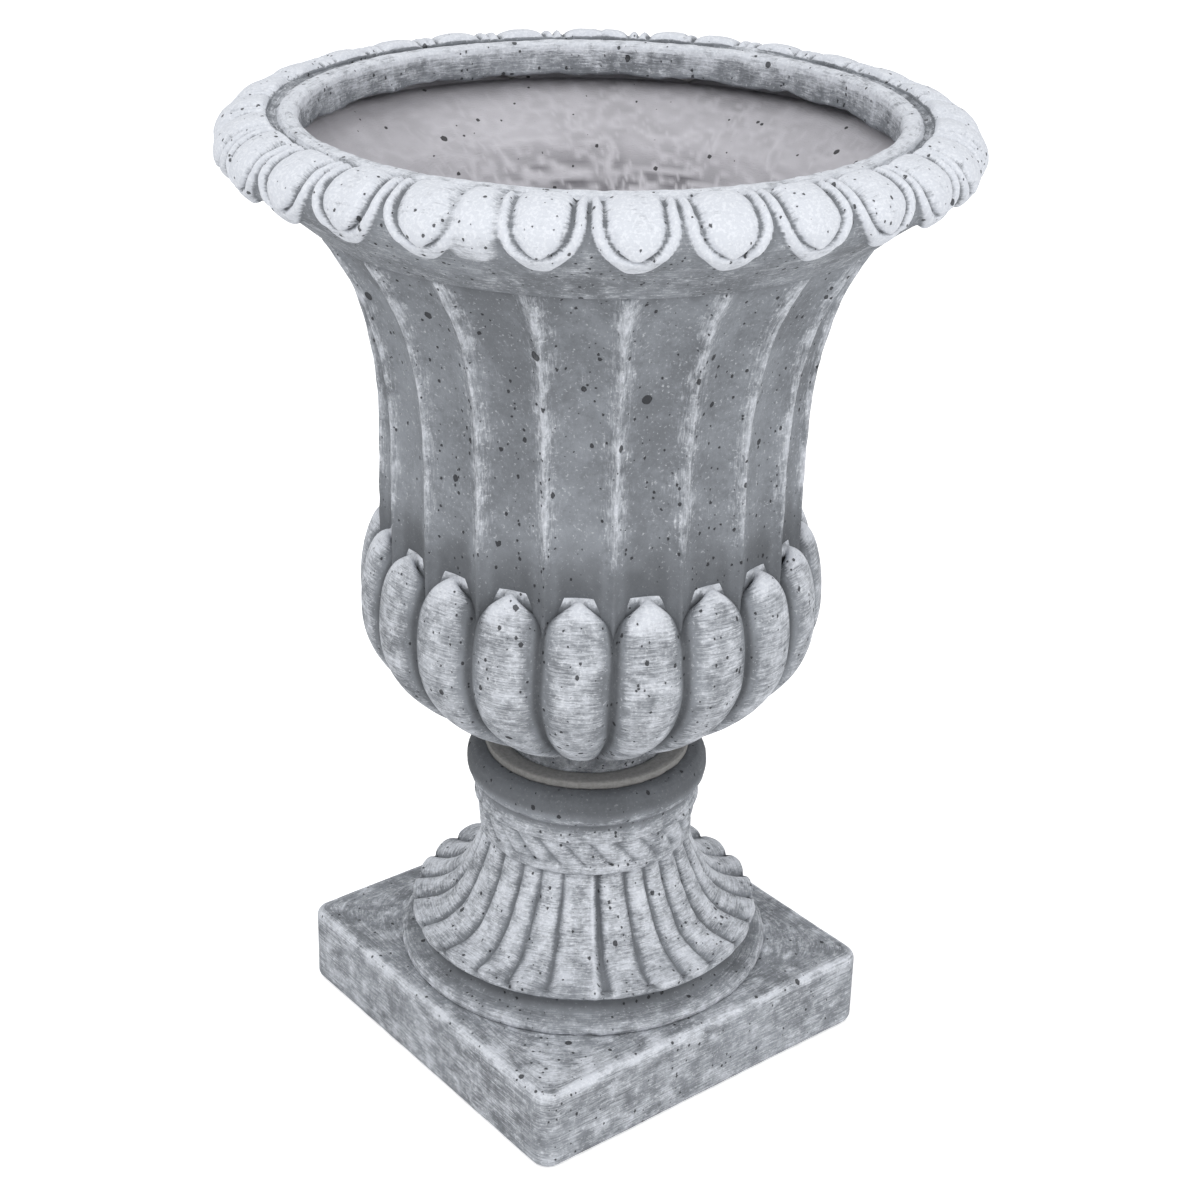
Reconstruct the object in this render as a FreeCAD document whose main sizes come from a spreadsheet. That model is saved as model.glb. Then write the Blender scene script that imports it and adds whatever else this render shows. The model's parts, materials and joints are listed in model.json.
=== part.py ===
import FreeCAD, Part
import os
from math import atan2, cos, degrees, hypot, pi, radians, sin, sqrt

import Sketcher
from FreeCAD import Placement, Rotation, Vector

# Urn planter of fibre-reinforced stone mix: a bowl, bonded at the neck to a pedestal.
# Millimetres. The origin is the centre of the plinth's underside, +Z is up, and the plinth's sides
# lie along X and Y. The bowl is drawn with its own zero at its underside, then set on the pedestal.
# Each casting is kept as rings that meet face to face: the bowl as base, belly, bell and rim, and the
# pedestal as plinth, foot and collar. The egg frieze is a band seated on the rim's roll.

os.makedirs("parts", exist_ok=True)
doc = FreeCAD.newDocument("urn_planter")

# ------------------------------------------------------------------ driving dimensions
SIZES = {
    # pedestal, from the floor upwards
    "plinth_width": 250,
    "plinth_height": 52,
    "plinth_corner_radius": 11,
    "plinth_edge_radius": 5,
    "ring_radius": 114,
    "ring_height": 8,
    "cove_radius": 99,
    "cove_height": 12,
    "foot_radius": 107,
    "foot_edge_height": 8,
    "trumpet_height": 52,
    "trumpet_top_radius": 62,
    "trumpet_ribs": 26,
    "rib_turn": 4.7,
    "rib_depth": 4.5,
    "fillet_band_radius": 65,
    "fillet_band_height": 7,
    "leaf_band_radius": 66,
    "leaf_band_height": 17,
    "leaf_count": 26,
    "leaf_depth": 2.5,
    "leaf_slant": 12,
    "neck_radius": 66,
    "neck_height": 12,
    "torus_radius": 73,
    "torus_height": 22,
    # bowl, from its underside upwards
    "bowl_base_radius": 75,
    "bowl_base_height": 50,
    "belly_radius": 135,
    "widest_height": 90,
    "widest_band_height": 10,
    "shoulder_height": 45,
    "shoulder_tuck_width": 4,
    "gadroons": 20,
    "gadroon_turn": 3.3,
    "gadroon_depth": 7.5,
    "waist_radius": 122,
    "waist_height": 195,
    "flare_height": 130,
    "flare_width": 34,
    "flute_depth": 6.5,
    "rim_radius": 206,
    "roll_radius": 26,
    "roll_half_height": 18.5,
    "roll_height": 364,
    "rim_width": 47,
    "groove_width": 5.2,
    "lip_edge_radius": 2,
    "lip_ledge_width": 3,
    "soffit_step_width": 2,
    "lip_height": 385,
    "lip_depth": 26,
    "lip_groove_depth": 4,
    "eggs": 28,
    "egg_turn": 5,
    "egg_width": 26,
    "egg_height": 5,
    "frame_width": 37,
    "frame_height": 3.4,
    "bay_depth": 4,
    "frieze_thickness": 1.5,
    # walls, bonds and the drain
    "wall_thickness": 9,
    "floor_thickness": 16,
    "lining_thickness": 2.5,
    "bond_thickness": 0.3,
    "spigot_radius": 48,
    "spigot_length": 16,
    "socket_clearance_width": 6,
    "socket_floor_thickness": 10,
    "mortar_thickness": 5,
    "mortar_radius": 62,
    "drain_radius": 12,
    "web_turn": 5.1,
}
sheet = doc.addObject("Spreadsheet::Sheet", "sizes")
for row, (name, value) in enumerate(SIZES.items(), 1):
    sheet.set(f"A{row}", name)
    sheet.set(f"B{row}", str(value))
    sheet.setAlias(f"B{row}", name)
doc.recompute()


def size(name):
    return float(sheet.get(name))


# ------------------------------------------------------------------ heights worked out from the stack
ring_top = size("plinth_height") + size("ring_height")
cove_top = ring_top + size("cove_height")
foot_top = cove_top + size("foot_edge_height")
trumpet_top = foot_top + size("trumpet_height")
fillet_top = trumpet_top + size("fillet_band_height")
leaf_top = fillet_top + size("leaf_band_height")
neck_top = leaf_top + size("neck_height")
pedestal_top = neck_top + size("torus_height")
bowl_underside = pedestal_top + size("mortar_thickness")
wall = size("wall_thickness")
bond = size("bond_thickness")
roll_centre = size("rim_radius") - size("roll_radius")
roll_squash = size("roll_half_height") / size("roll_radius")
mouth_radius = size("rim_radius") - size("rim_width")
shoulder_inset = size("belly_radius") - size("waist_radius") + size("shoulder_tuck_width")
socket_radius = size("spigot_radius") + size("socket_clearance_width")
socket_depth = size("spigot_length") - size("mortar_thickness") + size("socket_clearance_width")
bowl_place = Placement(Vector(0, 0, bowl_underside), Rotation())


# ------------------------------------------------------------------ the curves of the turned shapes
def belly_radius(height):
    """Radius over the gadroon crests: a parabola below the widest band, a quarter ellipse above."""
    rise = size("widest_height")
    band_top = rise + size("widest_band_height")
    if height <= rise:
        share = (rise - height) / rise
        return size("belly_radius") - (size("belly_radius") - size("bowl_base_radius")) * share**2
    if height <= band_top:
        return size("belly_radius")
    share = min((height - band_top) / size("shoulder_height"), 1)
    return size("belly_radius") - shoulder_inset * (1 - sqrt(1 - share**2))


def bell_radius(height):
    """Radius over the arrises of the fluted bell: straight at the waist, flaring to the rim."""
    share = max(0, (height - size("waist_height")) / size("flare_height"))
    return size("waist_radius") + size("flare_width") * share**BELL_CURVE


BELL_CURVE = 2.5
TRUMPET_CURVE = 11
STRAIGHT_SHARE = 0.42


def trumpet_radius(height):
    """Radius over the ribs of the trumpet foot, height measured up from its edge: a cone, flaring below."""
    share = 1 - min(max(height / size("trumpet_height"), 0), 1)
    spread = size("foot_radius") - size("trumpet_top_radius")
    straight = STRAIGHT_SHARE * share
    flare = (1 - STRAIGHT_SHARE) * share**TRUMPET_CURVE
    return size("trumpet_top_radius") + spread * (straight + flare)


def steps(low, high, count):
    return [low + (high - low) * i / (count - 1) for i in range(count)]


# ------------------------------------------------------------------ ways to make a solid
SEWING_REACH = 0.02
OVERLAP = 1


def lobed_wire(height, radius, depth, count, turn=0.0):
    """A closed ring of equal arcs, which bulge by depth, or hollow by it when depth is negative."""
    pitch = 2 * pi / count
    low = radius - max(depth, 0)
    mid = radius - max(-depth, 0)

    def at(reach, angle):
        return Vector(reach * cos(angle), reach * sin(angle), height)

    arcs = []
    for i in range(int(count)):
        start = turn + i * pitch
        arcs.append(Part.Arc(at(low, start), at(mid, start + pitch / 2), at(low, start + pitch)).toShape())
    return Part.Wire(arcs)


def lobed_solid(rows, count):
    """A ruled loft through lobed wires; each row gives height, radius, depth and turn."""
    wires = [lobed_wire(height, radius, depth, count, turn) for height, radius, depth, turn in rows]
    return Part.makeLoft(wires, True, True)


def turned_solid(edges):
    """A closed outline in the XZ plane, turned about Z."""
    return Part.Face(Part.Wire(edges)).revolve(Vector(), Vector(0, 0, 1), 360)


def sewn_solid(pieces):
    """Open faces and shells that meet edge to edge, sewn into one solid."""
    sewn = Part.makeCompound(pieces)
    sewn.sewShape(SEWING_REACH)
    return Part.makeSolid(sewn.Shells[0]).removeSplitter()


def corner_lines(points):
    places = [Vector(reach, 0, height) for reach, height in points]
    return [Part.makeLine(a, b) for a, b in zip(places, places[1:])]


def smooth_edge(points):
    curve = Part.BSplineCurve()
    curve.interpolate([Vector(reach, 0, height) for reach, height in points])
    return curve.toShape()


def moved_in(points, distance):
    """The same run of outline points, moved by distance towards the hollow side, on its left."""
    moved = []
    for i, (reach, height) in enumerate(points):
        before = points[max(i - 1, 0)]
        after = points[min(i + 1, len(points) - 1)]
        run, climb = after[0] - before[0], after[1] - before[1]
        span = hypot(run, climb)
        moved.append((reach - distance * climb / span, height + distance * run / span))
    return moved


def feature(label, shape, place=Placement()):
    item = doc.addObject("Part::Feature", label)
    item.Shape = shape
    item.Placement = place
    return item


def body_sketch(body, plane):
    sketch = body.newObject("Sketcher::SketchObject", body.Label + "_outline")
    origin = next(item for item in body.Origin.OriginFeatures if item.Role == plane)
    sketch.AttachmentSupport = (origin, "")
    sketch.MapMode = "FlatFace"
    return sketch


# ------------------------------------------------------------------ bowl: gadrooned base and belly, fluted bell
band_top = size("widest_height") + size("widest_band_height")
belly_top = band_top + size("shoulder_height")
bell_top = size("waist_height") + size("flare_height")
joint_turn = radians(size("gadroon_turn"))
base_heights = steps(0, size("bowl_base_height"), 5)
belly_heights = steps(size("bowl_base_height"), size("widest_height"), 4)
belly_heights += [band_top + size("shoulder_height") * sin(radians(turn)) for turn in steps(0, 90, 6)]
bell_heights = [belly_top] + steps(size("waist_height"), bell_top, 8)


def gadrooned(heights):
    rows = [(height, belly_radius(height), size("gadroon_depth"), joint_turn) for height in heights]
    return lobed_solid(rows, size("gadroons"))


bell_rows = [(height, bell_radius(height), -size("flute_depth"), joint_turn) for height in bell_heights]
bell = feature("bell_flutes", lobed_solid(bell_rows, size("gadroons")))
belly = feature("belly_gadroons", gadrooned(belly_heights))
base = feature("base_gadroons", gadrooned(base_heights))

# The rim's roll carries a frieze of eggs in raised U-shaped frames, drawn as rows from the lip groove over
# the outside to the underside. Share runs down the frieze from 0 to 1.
bay_floor = size("roll_radius") - size("bay_depth")
FRIEZE_START = 100
FRIEZE_END = -52
ROUND_START = 0.36
EGG_END = 0.73
FRAME_END = 0.95
HEAD_SHARE = 0.05
FRIEZE_SHARES = [0, HEAD_SHARE, 0.2, ROUND_START, 0.46, 0.56, 0.64, 0.7, EGG_END, 0.78, 0.84, 0.9,
                 FRAME_END, 1]
THINNEST = 0.06


def rounded_end(share, stop):
    """Full width up to the start of the rounded end, then a quarter ellipse down to almost nothing."""
    reach = min(max((share - ROUND_START) / (stop - ROUND_START), 0), 1)
    return max(sqrt(1 - reach**2), THINNEST)


def bay_marks(share):
    """Half widths of egg and frame, and how far egg, groove and frame stand off the bay's floor."""
    frame_half = size("frame_width") / 2 * rounded_end(share, FRAME_END)
    egg_half = min(size("egg_width") / 2 * rounded_end(share, EGG_END), frame_half / 2)
    if share in (0, 1):
        return egg_half, frame_half, 0, 0, 0
    if share < EGG_END:
        return egg_half, frame_half, size("egg_height"), 0, size("frame_height")
    ridge = (EGG_END + FRAME_END) / 2
    rise = size("frame_height") * max(1 - ((share - ridge) / (FRAME_END - ridge)) ** 2, 0)
    return egg_half, frame_half, rise, rise, rise * 0.7


# ------------------------------------------------------------------ the hollow inside the bowl
def valley_radius(height):
    """Radius down in the gadroon valleys and flutes, where the wall is at its thinnest."""
    belly_line = belly_radius(height) - size("gadroon_depth")
    bell_line = bell_radius(height) - size("flute_depth")
    return belly_line if height < size("widest_height") else max(belly_line, bell_line)


floor_height = size("floor_thickness")
valley_points = [(valley_radius(height), height) for height in steps(0, bell_top, 20)]
wall_points = [(reach, height) for reach, height in moved_in(valley_points, wall)
               if floor_height + wall / 2 < height < bell_top - wall]
last_reach = valley_radius(bell_top) - wall
hollow_points = [(0, floor_height), (size("spigot_radius"), floor_height)]
hollow_points += wall_points + [(last_reach, bell_top)]
hollow_edges = corner_lines(hollow_points[:2])
hollow_edges.append(smooth_edge(hollow_points[1:]))
hollow_edges += corner_lines([hollow_points[-1], (last_reach, bell_top + wall), (0, bell_top + wall),
                              hollow_points[0]])
hollow = feature("bowl_hollow", turned_solid(hollow_edges))


# ------------------------------------------------------------------ the rim: a turned roll and the egg frieze
def roll_point(angle, radius):
    tilt = radians(angle)
    return Vector(roll_centre + radius * cos(tilt), 0, size("roll_height") + roll_squash * radius * sin(tilt))


def across_height(point):
    return (point.x, point.z)


# The lip stands round the mouth, a groove parts it from the roll, and the roll, which is wider than it is
# tall, is hollow behind the lip.
# The frieze is a band of its own, seated on the roll: one bay is a surface through its points, repeated.
HOLLOW_LOW = -98
HOLLOW_HIGH = 135
soft = size("lip_edge_radius")
groove_outer = roll_point(FRIEZE_START, bay_floor).x
lip_outer = groove_outer - size("groove_width")
lip_low = size("lip_height") - size("lip_depth")
lip_shoulder = size("lip_height") - size("lip_groove_depth")
lip_crest = (mouth_radius + lip_outer) / 2
roll_inside = size("roll_radius") - wall
hollow_back = lip_outer - size("lip_ledge_width")
soffit_start = (bell_radius(bell_top) + size("soffit_step_width"), bell_top)
frieze_seat = bay_floor - size("frieze_thickness")
hollow_low = roll_point(HOLLOW_LOW, roll_inside)
hollow_high = roll_point(HOLLOW_HIGH, roll_inside)
lip_curve = smooth_edge([(lip_outer, lip_shoulder),
                         (lip_outer - soft, size("lip_height") - soft / 2),
                         (lip_crest, size("lip_height")),
                         (mouth_radius + soft, size("lip_height") - soft / 2),
                         (mouth_radius, lip_shoulder)])


def frieze_point(across, share, rise):
    """A point of the frieze: across in mm along the bay's floor from the egg's middle."""
    tilt = FRIEZE_START + share * (FRIEZE_END - FRIEZE_START)
    floor_reach = roll_centre + bay_floor * cos(radians(tilt))
    point = roll_point(tilt, bay_floor + rise)
    return Rotation(Vector(0, 0, 1), degrees(across / floor_reach)).multVec(point)


def bay_row(share):
    """The four arcs of one bay in this row: the dart's floor, a frame, the egg and the other frame."""
    egg_half, frame_half, egg_rise, groove_rise, frame_rise = bay_marks(share)
    floor_reach = roll_centre + bay_floor * cos(radians(FRIEZE_START + share * (FRIEZE_END - FRIEZE_START)))
    pitch = 2 * pi * floor_reach / size("eggs")
    frame_middle = (egg_half + frame_half) / 2
    marks = [(frame_half - pitch, 0), (-pitch / 2, 0), (-frame_half, 0), (-frame_middle, frame_rise),
             (-egg_half, groove_rise), (0, egg_rise), (egg_half, groove_rise), (frame_middle, frame_rise),
             (frame_half, 0)]
    points = [frieze_point(across, share, rise) for across, rise in marks]
    return [Part.Arc(*points[i:i + 3]).toShape() for i in (0, 2, 4, 6)]


bay_pitch = 360 / size("eggs")
rows = [bay_row(share) for share in FRIEZE_SHARES]
bay_faces = [Part.makeRuledSurface(upper, lower)
             for row, next_row in zip(rows, rows[1:]) for upper, lower in zip(row, next_row)]
seat_tilts = steps(FRIEZE_START, FRIEZE_END, 13)
seat_points = [across_height(roll_point(tilt, frieze_seat)) for tilt in seat_tilts]
back_points = [across_height(roll_point(FRIEZE_START, bay_floor))] + seat_points
back_points.append(across_height(roll_point(FRIEZE_END, bay_floor)))


def turn_of(point):
    return degrees(atan2(point.y, point.x))


frieze_skin = []
bay_back = Part.Wire(corner_lines(back_points))
bay_back.rotate(Vector(), Vector(0, 0, 1), turn_of(rows[0][0].Vertexes[0].Point))
bay_faces += bay_back.revolve(Vector(), Vector(0, 0, 1), bay_pitch).Faces
for i in range(int(size("eggs"))):
    for face in bay_faces:
        turned = face.copy()
        turned.rotate(Vector(), Vector(0, 0, 1), size("egg_turn") + i * bay_pitch)
        frieze_skin.append(turned)
egg_frieze = feature("egg_frieze", sewn_solid(frieze_skin), bowl_place)

roll_edges = corner_lines(seat_points + [soffit_start, (last_reach, bell_top), across_height(hollow_low)])
roll_edges += corner_lines([across_height(roll_point(tilt, roll_inside))
                            for tilt in steps(HOLLOW_LOW, HOLLOW_HIGH, 19)])
roll_edges += corner_lines([across_height(hollow_high), (hollow_back, lip_low),
                            (mouth_radius, lip_low), (mouth_radius, lip_shoulder)])
roll_edges.append(lip_curve)
roll_edges += corner_lines([(lip_outer, lip_shoulder), (lip_outer, seat_points[0][1]), seat_points[0]])
bowl_rim = feature("bowl_rim", turned_solid(roll_edges), bowl_place)

spigot = doc.addObject("Part::Cylinder", "bowl_spigot")
spigot.setExpression("Radius", "sizes.spigot_radius")
spigot.setExpression("Height", "sizes.spigot_length + sizes.floor_thickness / 2")
spigot.setExpression("Placement.Base.z", "-sizes.spigot_length")
bore = doc.addObject("Part::Cylinder", "drain_bore")
bore.setExpression("Radius", "sizes.drain_radius")
bore.setExpression("Height", "2 * sizes.spigot_length + 2 * sizes.floor_thickness")
bore.setExpression("Placement.Base.z", "-2 * sizes.spigot_length")

base_mass = doc.addObject("Part::MultiFuse", "base_mass")
base_mass.Shapes = [base, spigot]
base_space = doc.addObject("Part::MultiFuse", "base_space")
base_space.Shapes = [hollow, bore]


def hollowed(label, mass, space, place=Placement()):
    part = doc.addObject("Part::Cut", label)
    part.Base = mass
    part.Tool = space
    part.Placement = place
    return part


bowl_bell = hollowed("bowl_bell", bell, hollow, bowl_place)
bowl_belly = hollowed("bowl_belly", belly, hollow, bowl_place)
bowl_base = hollowed("bowl_base", base_mass, base_space, bowl_place)

# ------------------------------------------------------------------ bowl_lining: the fibre mat laid up inside
MAT_TOP_TILT = 60
corner = hollow_points[-1]
channel_start = across_height(hollow_low)
soffit_middle = ((corner[0] + channel_start[0]) / 2, (corner[1] + channel_start[1]) / 2)
channel = [across_height(roll_point(tilt, roll_inside)) for tilt in steps(HOLLOW_LOW, MAT_TOP_TILT, 17)]
mat_route = hollow_points[1:] + [soffit_middle] + channel
drain_edge = size("drain_radius") + bond


def mat_face(depth):
    """One face of the mat: smooth up the wall, then along the soffit and round the roll's hollow."""
    route = moved_in(mat_route, depth)
    bend = len(hollow_points) - 2
    return [(drain_edge, route[0][1])] + route, [smooth_edge(route[:bend + 1])] + corner_lines(route[bend:])


outside_points, outside_edges = mat_face(bond)
inside_points, inside_edges = mat_face(bond + size("lining_thickness"))
mat_edges = outside_edges + corner_lines([outside_points[-1], inside_points[-1]]) + inside_edges[::-1]
mat_edges += corner_lines([inside_points[1], inside_points[0], outside_points[0], outside_points[1]])
bowl_lining = feature("bowl_lining", turned_solid(mat_edges), bowl_place)

# ------------------------------------------------------------------ rim_webs: lumps that bridge the hollow rim
WEB_TURNS = [31.7, 66.5]
webs = []
for i, turn in enumerate(WEB_TURNS, 1):
    web = doc.addObject("Part::Torus", f"web_{i}")
    web.setExpression("Radius1", "sizes.rim_radius - sizes.roll_radius")
    web.Radius2 = roll_squash * (roll_inside - bond - size("lining_thickness")) - bond
    web.setExpression("Angle3", "sizes.web_turn")
    web.Placement = Placement(Vector(0, 0, size("roll_height")), Rotation(Vector(0, 0, 1), turn))
    webs.append(web)
web_pair = doc.addObject("Part::MultiFuse", "web_pair")
web_pair.Shapes = webs
web_limit = feature("web_limit", Part.makeCylinder(hollow_back + bond, size("lip_height")))
rim_webs = hollowed("rim_webs", web_pair, web_limit, bowl_place)

# ------------------------------------------------------------------ pedestal: the plinth, padded and filleted
plinth_block = doc.addObject("PartDesign::Body", "plinth_block")
square = body_sketch(plinth_block, "XY_Plane")
half = size("plinth_width") / 2
corners = [Vector(-half, -half, 0), Vector(half, -half, 0), Vector(half, half, 0), Vector(-half, half, 0)]
for start, end in zip(corners, corners[1:] + corners[:1]):
    square.addGeometry(Part.LineSegment(start, end), False)
for i in range(4):
    square.addConstraint(Sketcher.Constraint("Coincident", i, 2, (i + 1) % 4, 1))
square.addConstraint([Sketcher.Constraint("Horizontal", 0), Sketcher.Constraint("Horizontal", 2),
                      Sketcher.Constraint("Vertical", 1), Sketcher.Constraint("Vertical", 3),
                      Sketcher.Constraint("Symmetric", 0, 1, 1, 2, -1, 1),
                      Sketcher.Constraint("Equal", 0, 1)])
side = square.addConstraint(Sketcher.Constraint("DistanceX", 0, 1, 0, 2, 2 * half))
square.setExpression(f"Constraints[{side}]", "sizes.plinth_width")
slab = plinth_block.newObject("PartDesign::Pad", "plinth_slab")
slab.Profile = square
slab.setExpression("Length", "sizes.plinth_height")
doc.recompute([square, slab])


LEAST_UPRIGHT = 1


def edge_names(shape, wanted):
    return [f"Edge{i}" for i, edge in enumerate(shape.Edges, 1) if wanted(edge)]


corner_round = plinth_block.newObject("PartDesign::Fillet", "plinth_corners")
corner_round.Base = (slab, edge_names(slab.Shape, lambda edge: edge.BoundBox.ZLength > LEAST_UPRIGHT))
corner_round.setExpression("Radius", "sizes.plinth_corner_radius")
doc.recompute([corner_round])
edge_round = plinth_block.newObject("PartDesign::Fillet", "plinth_edges")
edge_round.Base = (corner_round,
                   edge_names(corner_round.Shape, lambda edge: edge.BoundBox.ZLength < LEAST_UPRIGHT))
edge_round.setExpression("Radius", "sizes.plinth_edge_radius")

# Above the plinth: a ring bead and a cove, the ribbed trumpet, and the collar with its slanted leaves.
plinth_top = size("plinth_height")
bead = size("ring_height") / 2
cove_end = cove_top + OVERLAP
ring_edges = corner_lines([(size("cove_radius"), cove_end), (0, cove_end), (0, plinth_top),
                           (size("ring_radius") - bead / 4, plinth_top)])
ring_edges.append(smooth_edge([(size("ring_radius") - bead / 4, plinth_top),
                               (size("ring_radius"), plinth_top + bead / 2),
                               (size("ring_radius") - bead, ring_top),
                               (size("cove_radius") + bead / 4, ring_top + bead),
                               (size("cove_radius"), cove_end)]))
ring = feature("plinth_ring", turned_solid(ring_edges))

rib_start = radians(size("rib_turn"))
rib_rows = [(cove_top, size("foot_radius"), size("rib_depth"), rib_start)]
rib_rows += [(foot_top + rise, trumpet_radius(rise), size("rib_depth"), rib_start)
             for rise in steps(0, size("trumpet_height"), 8)]
trumpet = feature("trumpet_ribs", lobed_solid(rib_rows, size("trumpet_ribs")))

leaf_rows = [(height, size("leaf_band_radius"), size("leaf_depth"), radians(slant))
             for height, slant in zip(steps(fillet_top - OVERLAP, leaf_top + OVERLAP, 4),
                                      steps(0, size("leaf_slant"), 4))]
leaves = feature("leaf_band", lobed_solid(leaf_rows, size("leaf_count")))

torus_bulge = size("torus_height") / 2
leaf_floor = size("leaf_band_radius") - 2 * size("leaf_depth")
collar_edges = corner_lines([(0, pedestal_top), (0, trumpet_top), (size("fillet_band_radius"), trumpet_top),
                             (size("fillet_band_radius"), fillet_top), (leaf_floor, fillet_top),
                             (leaf_floor, leaf_top), (size("neck_radius"), leaf_top),
                             (size("neck_radius"), neck_top)])
collar_edges.append(Part.Arc(Vector(size("neck_radius"), 0, neck_top),
                             Vector(size("torus_radius"), 0, neck_top + torus_bulge),
                             Vector(size("neck_radius"), 0, pedestal_top)).toShape())
collar_edges += corner_lines([(size("neck_radius"), pedestal_top), (0, pedestal_top)])
collar = feature("turned_collar", turned_solid(collar_edges))

# Under the castings the pedestal is hollow: a square pan in the plinth, then a bell up to the socket floor.
pan_side = size("plinth_width") - 2 * wall
pan = doc.addObject("Part::Box", "plinth_pan")
pan.setExpression("Length", "sizes.plinth_width - 2 * sizes.wall_thickness")
pan.setExpression("Width", "sizes.plinth_width - 2 * sizes.wall_thickness")
pan.setExpression("Height", "2 * (sizes.plinth_height - sizes.wall_thickness)")
pan.Placement.Base = Vector(-pan_side / 2, -pan_side / 2, wall - plinth_top)
socket_bottom = pedestal_top - socket_depth
core_top = socket_bottom - size("socket_floor_thickness")
core_points = [(size("cove_radius") - wall, plinth_top - 2 * wall), (size("cove_radius") - wall, cove_top)]
core_points += [(trumpet_radius(rise) - size("rib_depth") - wall, foot_top + rise)
                for rise in steps(wall, size("trumpet_height"), 5)]
core_points.append((size("spigot_radius"), core_top))
core_edges = corner_lines(core_points)
core_edges += corner_lines([core_points[-1], (0, core_top), (0, core_points[0][1]), core_points[0]])
core_space = feature("foot_space", turned_solid(core_edges))

plinth_space = doc.addObject("Part::MultiFuse", "plinth_space")
plinth_space.Shapes = [pan, core_space]
plinth = hollowed("plinth", plinth_block, plinth_space)

foot_mass = doc.addObject("Part::MultiFuse", "foot_mass")
foot_mass.Shapes = [ring, trumpet]
pedestal_foot = hollowed("pedestal_foot", foot_mass, core_space)

hole_radius = size("drain_radius") + size("socket_clearance_width")
socket_low = Vector(0, 0, socket_bottom)
socket = feature("bowl_socket", Part.makeCylinder(socket_radius, 2 * socket_depth, socket_low))
floor_hole = feature("socket_drain", Part.makeCylinder(hole_radius, pedestal_top, Vector(0, 0, plinth_top)))
collar_mass = doc.addObject("Part::MultiFuse", "collar_mass")
collar_mass.Shapes = [leaves, collar]
collar_space = doc.addObject("Part::MultiFuse", "collar_space")
collar_space.Shapes = [core_space, socket, floor_hole]
pedestal_collar = hollowed("pedestal_collar", collar_mass, collar_space)

# ------------------------------------------------------------------ pedestal_lining: the same mat in the foot
under_outside = moved_in(core_points, bond)
under_inside = moved_in(core_points, bond + size("lining_thickness"))
under_edges = corner_lines(under_outside + under_inside[::-1] + under_outside[:1])
pedestal_lining = feature("pedestal_lining", turned_solid(under_edges))

# ------------------------------------------------------------------ joint_mortar: it bonds bowl to pedestal
mortar = doc.addObject("PartDesign::Body", "joint_mortar")
bed = body_sketch(mortar, "XZ_Plane")
bed_inner = size("drain_radius") + bond
cup_radius = socket_radius - bond
stem_radius = size("spigot_radius") + bond
cup_low = socket_bottom + bond
stem_low = bowl_underside - size("spigot_length") - bond
bed_low = pedestal_top + bond
bed_high = bowl_underside - bond
brim = size("mortar_radius")
bed_corners = [(bed_inner, cup_low), (cup_radius, cup_low), (cup_radius, bed_low), (brim, bed_low),
               (brim, bed_high), (stem_radius, bed_high), (stem_radius, stem_low), (bed_inner, stem_low)]
bed_places = [Vector(reach, height, 0) for reach, height in bed_corners]
for start, end in zip(bed_places, bed_places[1:] + bed_places[:1]):
    bed.addGeometry(Part.LineSegment(start, end), False)
for i, (reach, height) in enumerate(bed_corners):
    bed.addConstraint(Sketcher.Constraint("Coincident", i, 2, (i + 1) % len(bed_corners), 1))
    bed.addConstraint(Sketcher.Constraint("DistanceX", -1, 1, i, 1, reach))
    bed.addConstraint(Sketcher.Constraint("DistanceY", -1, 1, i, 1, height))
bed_turn = mortar.newObject("PartDesign::Revolution", "mortar_thickness")
bed_turn.Profile = bed
bed_turn.ReferenceAxis = (bed, ["V_Axis"])
bed_turn.Angle = 360

# ------------------------------------------------------------------ recompute, check and write each sub-part
doc.recompute()
for item in doc.Objects:
    if "Invalid" in item.State or "Error" in item.State:
        raise RuntimeError(f"{item.Label} did not build: {item.State}")
sub_parts = [bowl_rim, egg_frieze, bowl_bell, bowl_belly, bowl_base, bowl_lining, rim_webs,
             plinth, pedestal_foot, pedestal_collar, pedestal_lining, mortar]
for item in sub_parts:
    shape = item.Shape
    if shape.isNull() or not shape.isValid() or not shape.Solids:
        raise RuntimeError(f"{item.Label} has no sound solid")
    shape.exportStep(f"parts/{item.Label}.step")
    print(f"{item.Label}: {len(shape.Solids)} solid(s), {shape.Volume / 1000:.0f} cm3")
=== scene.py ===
# %% [markdown]
# # An urn planter in cast fibre-clay
# The planter stands 58 cm tall. It is made of thin grey castings, packed by hand into moulds, bonded at the
# neck and dry-brushed with a pale wash that stays on the high points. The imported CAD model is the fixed
# frame: every piece below is modelled at the size and place that the frame gives.

import json
import math

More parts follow.
